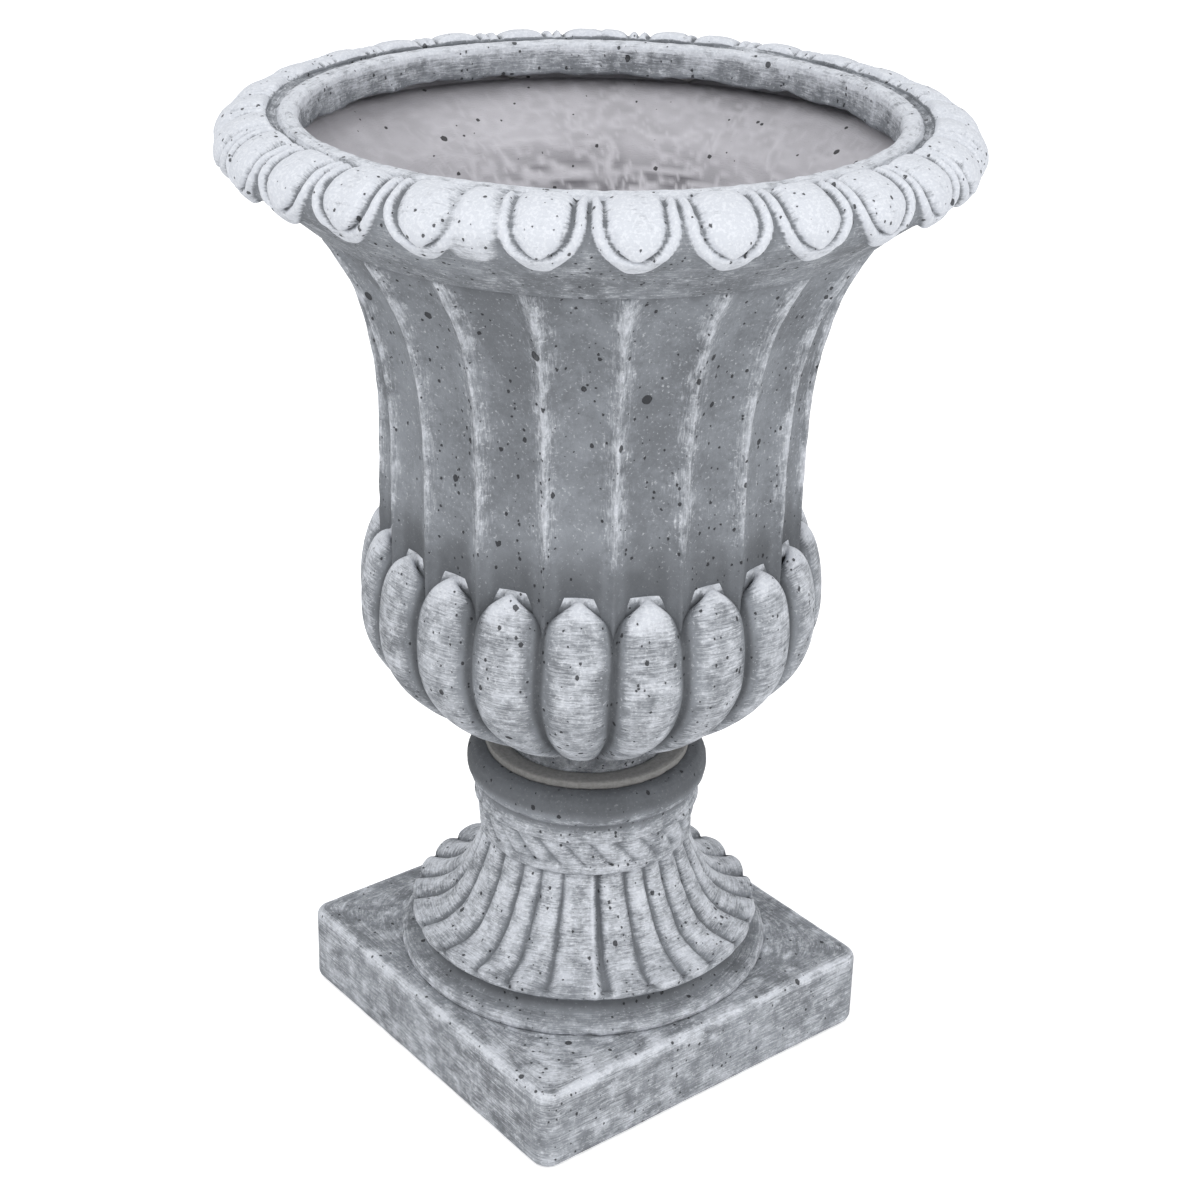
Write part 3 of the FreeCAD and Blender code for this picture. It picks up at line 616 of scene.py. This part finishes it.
stem.raise_by(skin * hand)
crack = bump_at(stem.facing, stem.height, 1.0, 56, 5.5, 7)
stem.raise_by(skin * -1.2 * crack * (0.5 + 0.8 * mottle(face, 4, 105)))
crest, recess = high_and_low(stem, 5, 3, 2.4)
# Painted shade: a dark band under the torus, one over the torus top next to the bowl and one in the cove go
# into the recess mark.
painted_torus_shade = np.exp(-((stem.height - 167) / 4) ** 2) * 0.5 + 1.0 * ease(stem.height, 171, 184)
painted_cove_shade = np.exp(-((stem.height - 66) / 5) ** 2) * 0.8
# The wash is real dry brush, raised as painted light to lift the bowl's shadow off the stem and cut on the
# torus top as painted shade.
stem_wash_light_and_shade = 0.52 - 0.3 * ease(stem.height, 172, 180)
pedestal_stem = stem.finish(0.6 * crest, np.clip(0.5 * recess + painted_torus_shade + painted_cove_shade, 0, 1), wash=stem_wash_light_and_shade)

# %% [markdown]
# ## The plinth
# A square slab with rounded corners, softened edges and a pan underneath. It is turned like the rest, and
# each ring of the blank is then pushed out to a rounded square.

# %% The plinth


def square_reach(facing_angle, half, corner):
    """Distance from the axis to a rounded square, by the angle round it."""
    folded = np.abs((facing_angle + math.pi / 4) % (math.pi / 2) - math.pi / 4)
    flat = half / np.cos(folded)
    inset = half - corner
    mix = inset * (np.cos(folded) + np.sin(folded))
    rounded = mix + np.sqrt(np.maximum(mix**2 - 2 * inset**2 + corner**2, 0))
    return np.where(half * np.tan(folded) <= inset, flat, rounded)


# each row: half width, corner radius, height
plinth_rows = np.vstack([
    np.linspace((116, 0.5, 0.3), (119.5, 6, 0.3), 4, endpoint=False),
    np.array([(119.5 + 5 * math.sin(a), 6 + 5 * math.sin(a), 5.3 - 5 * math.cos(a))
              for a in np.linspace(0, math.pi / 2, 7, endpoint=False)]),
    np.linspace((124.6, 11, 5.3), (124.4, 11, 46.5), 30, endpoint=False),
    np.array([(118.9 + 5.5 * math.cos(a), 5.5 + 5.5 * math.cos(a), 46.5 + 5.5 * math.sin(a))
              for a in np.linspace(0, math.pi / 2, 8, endpoint=False)]),
    np.linspace((118.9, 6, 52), (112, 20, 52), 8, endpoint=False),
    np.linspace((112, 20, 52), (92, 92, 51.8), 20, endpoint=False),
    np.linspace((91, 91, 51.6), (91, 91, 43), 5, endpoint=False),
    np.linspace((91, 91, 43), (116, 0.5, 43), 12, endpoint=False),
    np.linspace((116, 0.5, 43), (116, 0.5, 0.3), 12, endpoint=False),
])
SLAB_FACE_ROWS = 77
TOP_EDGE_ROW = 45
slab = Turned("plinth_slab", plinth_rows[:, [0, 2]], 720)
slab.radius = square_reach(slab.turn, plinth_rows[None, :, 0], plinth_rows[None, :, 1])
face = slab.points()
skin = np.zeros(len(plinth_rows))
skin[:SLAB_FACE_ROWS] = 1
hand = skin * (0.45 * uneven(face, 70, 111) + 0.18 * mottle(face, 9, 113))
slab.raised = slab.raised + hand
slab.radius = slab.radius + np.where(slab.height < 51, hand * (slab.out[None, :, 0] > 0.3), 0)
slab.height = slab.height + np.where(slab.out[None, :, 1] > 0.5, np.minimum(hand, 0.1), 0)
edge_row = np.exp(-((np.arange(len(plinth_rows)) - TOP_EDGE_ROW) / 3.0) ** 2)[None, :]
# Painted light: extra wash on the part of the plinth top that faces the camera makes it lighter than the rest
# of the top.
painted_front_light = ease(slab.height, 50, 51.5) * np.exp(-(slab.facing / 28) ** 2) * ease(slab.radius, 100, 140)
slab_wash_and_light = 0.32 + 0.08 * (slab.height < 48) + 0.22 * painted_front_light
plinth_slab = slab.finish(0.55 * edge_row, 0, wash=slab_wash_and_light)

# %% [markdown]
# ## The lining
# The inside is laid up with glass-fibre mat soaked in mix. It wrinkled as it was pressed on, most of all
# where the hand worked round the far wall.

# %% The lining
lining_inner = through_run([(12.5, BOWL + 30), (48, BOWL + 30), (68, BOWL + 36), (87, BOWL + 49),
                            (100.5, BOWL + 65), (109.5, BOWL + 80), (115.5, BOWL + 98),
                            (114.9, BOWL + 112.5), (111.8, BOWL + 126.6), (104, BOWL + 144),
                            (103.7, BOWL + 163), (103.7, BOWL + 196), (103.8, BOWL + 212),
                            (104.9, BOWL + 229.6), (107, BOWL + 247), (110.3, BOWL + 264),
                            (115.2, BOWL + 281), (122.6, BOWL + 298.5), (129.6, BOWL + 312),
                            (137.6, BOWL + 326.6), (157, BOWL + 341), (176, BOWL + 354.5)], 140)
lining_channel = roll_run(14.2, -100, 60, 16)
lining_outer = through_run([roll_place(16.7, 60), roll_place(16.7, 0), roll_place(16.7, -50),
                            roll_place(16.7, -98), (140.2, BOWL + 326), (130.6, BOWL + 307),
                            (117.4, BOWL + 280), (107.3, BOWL + 229), (106.1, BOWL + 196),
                            (106.1, BOWL + 163), (106.3, BOWL + 145), (117.2, BOWL + 113), (118, BOWL + 98),
                            (112.5, BOWL + 78.3), (103.5, BOWL + 63.4), (89.5, BOWL + 46.4),
                            (69.6, BOWL + 33.5), (47.6, BOWL + 27.4), (12.5, BOWL + 27.4)], 24)
lining_close = through_run([(12.5, BOWL + 27.4), (12.5, BOWL + 30)], 2)
lining_outline = np.vstack([lining_inner, lining_channel, lining_outer, lining_close])[::-1]
mat = Turned("inner_mat", lining_outline, 540)
inner_rows = np.zeros(len(lining_outline))
inner_rows[len(lining_outline) - len(lining_inner) - len(lining_channel):] = 1
face = mat.points()
swirl = face + 9 * np.stack([mottle(face, 35, 121), mottle(face, 35, 122), mottle(face, 35, 123)], axis=-1)
fold = np.abs(mottle(swirl * [1, 1, 3.2], 22, 125))
fine_fold = np.abs(mottle(swirl * [1, 1, 2.6], 9, 127))
worked = 0.3 + 0.9 * np.exp(-((mat.facing - 165) / 50) ** 2) + 0.9 * np.exp(-((mat.facing + 195) / 50) ** 2)
wrinkle = worked * (2.4 * np.exp(-fold / 0.08) + 1.3 * np.exp(-fine_fold / 0.10))
wrinkle = wrinkle * (1 - 0.75 * ease(mat.height, BOWL + 300, BOWL + 330))
amount = wrinkle + 1.2 * uneven(face, 60, 131)
mat.radius = mat.radius - inner_rows * np.clip(amount, -0.3, 3.0)
mat.raised = mat.raised + inner_rows * amount
crest, recess = high_and_low(mat, 3, 2, 0.6)
inner_mat = mat.finish(crest, recess, wash=0)

# %% [markdown]
# ## The mortar at the neck
# A bed of rough mortar bonds the bowl to the pedestal. Its edge shows as a thin ring round the neck.

# %% Mortar bed
MORTAR_EDGE = 61.6
bed_outline = np.vstack([through_run([(12.5, 174.5), (53.5, 174.5), (53.5, 190.3), (61.5, 190.3)], 24),
                         through_run([(61.5, 190.3), (61.8, 192.5), (61.5, 194.7)], 5),
                         through_run([(61.5, 194.7), (48.5, 194.7), (48.5, 178.6), (12.5, 178.6),
                                      (12.5, 174.5)], 24)])
bed = Turned("neck_mortar", bed_outline, 180)
face = bed.points()
bed.raise_by(np.exp(-((bed.outline[None, :, 0] - MORTAR_EDGE) / 1.0) ** 2) * 0.5 * mottle(face, 4, 141))
neck_mortar = bed.finish(crest=0, recess=1, wash=0)

# %% [markdown]
# ## Lumps of mix behind the lip
# Two lumps bridge the hollow rim at the back. Each is a ball squashed to fit the channel and roughened.

# %% Webs
WEB_RADIUS = 0.0122
WEB_REACH = 180.5
WEB_SQUASH = (0.9, 0.62, 0.72)
WEB_SHIFT = 2.55


def add_web(name, math_angle):
    deselect()
    bpy.ops.mesh.primitive_uv_sphere_add(segments=48, ring_count=32, radius=WEB_RADIUS, location=(0, 0, 0))
    lump = bpy.context.object
    lump.name = name
    mesh = lump.data
    places = np.empty(len(mesh.vertices) * 3)
    mesh.vertices.foreach_get("co", places)
    places = places.reshape(-1, 3) / MM
    places *= 1 + 0.16 * mottle(places, 6, 151)[:, None]
    places *= np.array(WEB_SQUASH)
    turn = math.radians(math_angle)
    flat = places[:, 0] + WEB_REACH
    side = places[:, 1]
    moved = np.stack([flat * math.cos(turn) - side * math.sin(turn),
                      flat * math.sin(turn) + side * math.cos(turn), places[:, 2] + BOWL + 364], axis=1)
    mesh.vertices.foreach_set("co", (moved * MM).ravel())
    for mark_name in ("crest", "recess", "wash"):
        mesh.attributes.new(mark_name, "FLOAT", "POINT")
    mesh.update()
    bpy.ops.object.shade_smooth()
    print(name, len(mesh.vertices), "vertices")
    return lump


web_left = add_web("web_left", 66.5 + WEB_SHIFT)
web_right = add_web("web_right", 31.7 + WEB_SHIFT)

# %% [markdown]
# ## Materials
# The cast stone is a matt grey skin, clouded by the cement, with pale wash brushed over the high points,
# painted shade darkening the hollows and many small air pits, painted near-black for the shade inside them.
# The shader maths is written through a small class that stands for one wire between nodes.

# %% Shader wires


def feed(inlet, value):
    if isinstance(value, Wire):
        inlet.node.id_data.links.new(value.socket, inlet)
    else:
        inlet.default_value = value


class Wire:
    """One output socket, so that node maths reads like ordinary maths."""

    def __init__(self, socket):
        self.socket = socket

    def sum_up(self, operation, *others, clamp=False):
        node = self.socket.node.id_data.nodes.new("ShaderNodeMath")
        node.operation = operation
        node.use_clamp = clamp
        for inlet, value in zip(node.inputs, (self, *others)):
            feed(inlet, value)
        return Wire(node.outputs[0])

    def __add__(self, other):
        return self.sum_up("ADD", other)

    def __mul__(self, other):
        return self.sum_up("MULTIPLY", other)

    def __sub__(self, other):
        return self.sum_up("SUBTRACT", other)

    def __rsub__(self, other):
        return self.sum_up("MULTIPLY", -1).sum_up("ADD", other)

    def __pow__(self, other):
        return self.sum_up("POWER", other)

    __radd__ = __add__
    __rmul__ = __mul__

    def clamped(self):
        return self.sum_up("ADD", 0.0, clamp=True)

    def most(self, other):
        return self.sum_up("MAXIMUM", other)


class Recipe:
    """A material being mixed: the node tree, with one method that adds any node."""

    def __init__(self, name):
        self.material = bpy.data.materials.new(name)
        self.material.use_nodes = True
        self.tree = self.material.node_tree
        self.surface = self.tree.nodes["Principled BSDF"]

    def add(self, kind, settings, **inputs):
        node = self.tree.nodes.new(kind)
        for key, value in settings.items():
            setattr(node, key, value)
        for key, value in inputs.items():
            feed(node.inputs[key.replace("_", " ")], value)
        return node

    def place(self, scale):
        coordinates = self.add("ShaderNodeTexCoord", {})
        return self.stretch(Wire(coordinates.outputs["Object"]), scale)

    def wrap(self, scale):
        return self.stretch(Wire(self.add("ShaderNodeUVMap", {"uv_map": "wrap"}).outputs[0]), scale)

    def stretch(self, vector, scale):
        node = self.tree.nodes.new("ShaderNodeVectorMath")
        node.operation = "MULTIPLY"
        feed(node.inputs[0], vector)
        node.inputs[1].default_value = scale
        return Wire(node.outputs[0])

    def mark(self, name):
        return Wire(self.add("ShaderNodeAttribute", {"attribute_name": name}).outputs["Fac"])

    def noise(self, vector, scale, detail=3.0, roughness=0.55):
        node = self.add("ShaderNodeTexNoise", {}, Vector=vector, Scale=scale, Detail=detail,
                        Roughness=roughness)
        return Wire(node.outputs[0])

    def cells(self, vector, scale):
        node = self.add("ShaderNodeTexVoronoi", {}, Vector=vector, Scale=scale, Randomness=1.0)
        return Wire(node.outputs["Distance"]), Wire(node.outputs["Color"])

    def step_up(self, value, low, high):
        node = self.add("ShaderNodeMapRange", {"interpolation_type": "SMOOTHSTEP"}, Value=value)
        feed(node.inputs["From Min"], low)
        feed(node.inputs["From Max"], high)
        return Wire(node.outputs["Result"])

    def blend(self, share, first, second):
        node = self.add("ShaderNodeMix", {"data_type": "RGBA"})
        feed(node.inputs[0], share)
        feed(node.inputs[6], first if isinstance(first, Wire) else (*first, 1))
        feed(node.inputs[7], second if isinstance(second, Wire) else (*second, 1))
        return Wire(node.outputs[2])

    def red_of(self, colour):
        return Wire(self.add("ShaderNodeSeparateColor", {}, Color=colour).outputs[0])

    def bump(self, height, distance, strength=1.0, under=None):
        node = self.add("ShaderNodeBump", {}, Height=height, Distance=distance, Strength=strength)
        if under:
            feed(node.inputs["Normal"], under)
        return Wire(node.outputs[0])


PER_MM = (1000, 1000, 1000)


def pits_of(recipe, spread, largest, stretch=PER_MM):
    """Small uneven air pits: 1 inside a pit, 0 outside; about one in each cell of this many mm."""
    place = recipe.place(stretch)
    wobble = recipe.add("ShaderNodeTexNoise", {}, Vector=place, Scale=0.9, Detail=2.0)
    shifted = recipe.add("ShaderNodeVectorMath", {"operation": "ADD"})
    feed(shifted.inputs[0], place)
    feed(shifted.inputs[1], Wire(wobble.outputs["Color"]))
    near, tint = recipe.cells(Wire(shifted.outputs[0]), 1 / spread)
    pit_size = recipe.red_of(tint) ** 3.0 * (largest / spread)
    return recipe.step_up(pit_size - near, 0.0, 0.22 / spread)


# %% Cast stone
# brush strokes across and along the wrap map: a low value draws the noise out that way
ROUND_THE_URN = (0.07, 0.8, 1)
UP_THE_URN = (0.5, 0.07, 1)
GREY = (0.27, 0.288, 0.315)
PALE_WASH = (0.61, 0.635, 0.685)
WHITE_FLECK = (0.80, 0.82, 0.86)
PIT_SHADE = (0.022, 0.023, 0.026)


def cast_stone(name, body, wash_strength, strokes):
    recipe = Recipe(name)
    here = recipe.place(PER_MM)
    dark = tuple(0.60 * v for v in body)
    clouds = recipe.noise(here, 1 / 45, 4)
    grain = recipe.noise(here, 1 / 3.4, 5, 0.75)
    blotch = recipe.noise(here, 1 / 12, 5, 0.65)
    streak = recipe.noise(recipe.wrap(strokes), 1.0, 6, 0.75)
    scratch = recipe.noise(recipe.wrap((strokes[0] * 3, strokes[1] * 3, 1)), 1.0, 4, 0.7)
    crest, recess, wash = recipe.mark("crest"), recipe.mark("recess"), recipe.mark("wash")
    shade = clouds * 0.45 + grain * 0.35 + blotch * 0.2
    ground = recipe.blend(recipe.step_up(shade, 0.38, 0.62), dark, body)
    brushed = crest * 0.75 + wash + (streak - 0.5) * 1.7 + (blotch - 0.5) * 1.5 + (scratch - 0.5) * 0.9
    brushed = brushed - recess * 1.2
    cover = recipe.step_up(brushed, 0.12, 0.92) * wash_strength
    painted = recipe.blend(cover, ground, PALE_WASH)
    flecks = recipe.step_up(recipe.noise(here, 1 / 1.7, 3, 0.6) + cover * 0.12, 0.60, 0.72)
    painted = recipe.blend(flecks * 0.4, painted, WHITE_FLECK)
    # Painted shade: darkens places by the recess mark towards a deep grey, for the shade in the hollows; the
    # mark also carries the painted shade at the torus, the cove and the foot of the bell.
    painted_hollow_shade = recipe.step_up(recess + (grain - 0.5) * 0.7, 0.15, 0.9) * 0.7
    painted = recipe.blend(painted_hollow_shade, painted, tuple(0.27 * v for v in body))
    fine = pits_of(recipe, 3.6, 1.05, (1000, 1000, 800))
    pits = fine.most(pits_of(recipe, 8, 1.7, (1000, 900, 700))).most(pits_of(recipe, 26, 3.0))
    # Painted shade: each air pit is coloured near-black for the shade inside the hole.
    painted = recipe.blend(pits * 0.85, painted, PIT_SHADE)
    feed(recipe.surface.inputs["Base Color"], painted)
    recipe.surface.inputs["Roughness"].default_value = 0.86
    recipe.surface.inputs["Specular IOR Level"].default_value = 0.25
    rough = recipe.noise(here, 1 / 1.3, 3, 0.6)
    surface = recipe.bump(grain * 0.5 + rough * 0.35 + streak * 0.35 + cover * 0.3, 0.0013, 0.6)
    surface = recipe.bump(1 - pits, 0.0012, 0.8, surface)
    feed(recipe.surface.inputs["Normal"], surface)
    return recipe.material


stone = cast_stone("cast_stone", GREY, 1.0, ROUND_THE_URN)
bell_stone = cast_stone("cast_stone_bell", GREY, 0.9, UP_THE_URN)

# %% Fibre mat and mortar


def fibre_mat(name):
    recipe = Recipe(name)
    here = recipe.place(PER_MM)
    clouds = recipe.noise(here, 1 / 40, 4)
    fibres = recipe.noise(recipe.wrap((0.25, 1.1, 1)), 1.0, 5, 0.7)
    recess, crest = recipe.mark("recess"), recipe.mark("crest")
    ground = recipe.blend(clouds, (0.45, 0.44, 0.47), (0.60, 0.59, 0.63))
    # Painted shade in the wrinkle folds from the recess mark, and a painted highlight on the crests.
    ground = recipe.blend(recess.clamped() * 0.75, ground, (0.13, 0.127, 0.14))
    ground = recipe.blend(crest * 0.35, ground, (0.72, 0.71, 0.75))
    pits = pits_of(recipe, 7, 1.5).most(pits_of(recipe, 22, 2.6))
    # Painted shade: the air pits are coloured near-black for the shade inside them.
    feed(recipe.surface.inputs["Base Color"], recipe.blend(pits * 0.9, ground, (0.015, 0.015, 0.016)))
    recipe.surface.inputs["Roughness"].default_value = 0.8
    surface = recipe.bump(fibres, 0.0012, 0.5)
    feed(recipe.surface.inputs["Normal"], surface)
    return recipe.material


def mortar_mix(name):
    recipe = Recipe(name)
    here = recipe.place(PER_MM)
    grain = recipe.noise(here, 1 / 2.5, 4, 0.7)
    feed(recipe.surface.inputs["Base Color"], recipe.blend(grain, (0.14, 0.138, 0.135), (0.36, 0.355, 0.345)))
    recipe.surface.inputs["Roughness"].default_value = 0.9
    feed(recipe.surface.inputs["Normal"], recipe.bump(grain, 0.0015, 0.8))
    return recipe.material


mat_material = fibre_mat("fibre_mat")
mortar_material = mortar_mix("mortar")

# %% [markdown]
# ## Putting the pieces on the frame
# Each piece takes the place of the CAD node it shows. The CAD pieces that stay hidden inside keep their own
# bodies and take the same materials.

# %% Dress and place
DRESS = [
    (bowl_rim, stone, "cast_stone", ("bowl_rim",)),
    (egg_frieze_band, stone, "cast_stone", ("egg_frieze",)),
    (bowl_bell, bell_stone, "cast_stone", ("bowl_bell",)),
    (bowl_belly, stone, "cast_stone", ("bowl_belly", "bowl_base")),
    (pedestal_stem, stone, "cast_stone", ("pedestal_foot", "pedestal_collar")),
    (plinth_slab, stone, "cast_stone", ("plinth",)),
    (inner_mat, mat_material, "fibre_mat", ("bowl_lining",)),
    (neck_mortar, mortar_material, "mortar", ("joint_mortar",)),
    (web_left, mortar_material, "mortar", ("rim_webs",)),
    (web_right, mortar_material, "mortar", ("rim_webs",)),
]
for piece, material, slot_name, nodes in DRESS:
    piece.data.materials.clear()
    piece.data.materials.append(material)
    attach(piece, "root")
    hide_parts(*nodes)
for node, body in frame["nodes"].items():
    body.data.materials.clear()
    body.data.materials.append(mat_material if "lining" in node else stone)
print(len(DRESS), "pieces dressed")

# %% [markdown]
# ## Studio
# The photograph is a cut-out on pure white under soft light from above and the front left, with a bright
# bounce from below. Two large soft lamps and a pale floor give the same light.

# %% Floor, lamps and backdrop


def add_lamp(name, place, aim, size, power):
    deselect()
    bpy.ops.object.light_add(type="AREA", location=place)
    lamp = bpy.context.object
    lamp.name = name
    lamp.data.shape = "SQUARE"
    lamp.data.size = size
    lamp.data.energy = power
    away = np.array(aim) - np.array(place)
    flat = math.hypot(away[0], away[1])
    lamp.rotation_euler = (math.atan2(flat, -away[2]), 0, math.atan2(away[1], away[0]) - math.pi / 2)
    return lamp


def around_urn(facing, away, height):
    turn = CAMERA_TURN - math.pi / 2 + math.radians(facing)
    return (away * math.cos(turn), away * math.sin(turn), height)


add_lamp("key", around_urn(-35, 1.6, 2.1), (0, 0, 0.35), 1.4, 20)
add_lamp("fill", around_urn(50, 2.0, 1.2), (0, 0, 0.3), 1.8, 14)

deselect()
bpy.ops.mesh.primitive_plane_add(size=12, location=(0, 0, 0))
floor = bpy.context.object
floor.name = "studio_floor"
floor_recipe = Recipe("pale_floor")
floor_recipe.surface.inputs["Base Color"].default_value = (0.93, 0.93, 0.93, 1)
floor_recipe.surface.inputs["Roughness"].default_value = 1.0
floor_recipe.surface.inputs["Specular IOR Level"].default_value = 0.0
seen_by_camera = Wire(floor_recipe.add("ShaderNodeLightPath", {}).outputs["Is Camera Ray"])
glow = floor_recipe.blend(seen_by_camera, (0, 0, 0), (0.45, 0.45, 0.45))
feed(floor_recipe.surface.inputs["Emission Color"], glow)
floor_recipe.surface.inputs["Emission Strength"].default_value = 1.0
floor.data.materials.append(floor_recipe.material)

world = bpy.data.worlds.new("studio_white")
bpy.context.scene.world = world
world.use_nodes = True
sky = world.node_tree
background = sky.nodes["Background"]
seen = sky.nodes.new("ShaderNodeLightPath")
strength = sky.nodes.new("ShaderNodeMix")
strength.data_type = "FLOAT"
sky.links.new(seen.outputs["Is Camera Ray"], strength.inputs[0])
strength.inputs[2].default_value = 0.80
strength.inputs[3].default_value = 1.0
sky.links.new(strength.outputs[0], background.inputs["Strength"])
background.inputs["Color"].default_value = (1, 1, 1, 1)
bpy.context.scene.view_settings.view_transform = "Standard"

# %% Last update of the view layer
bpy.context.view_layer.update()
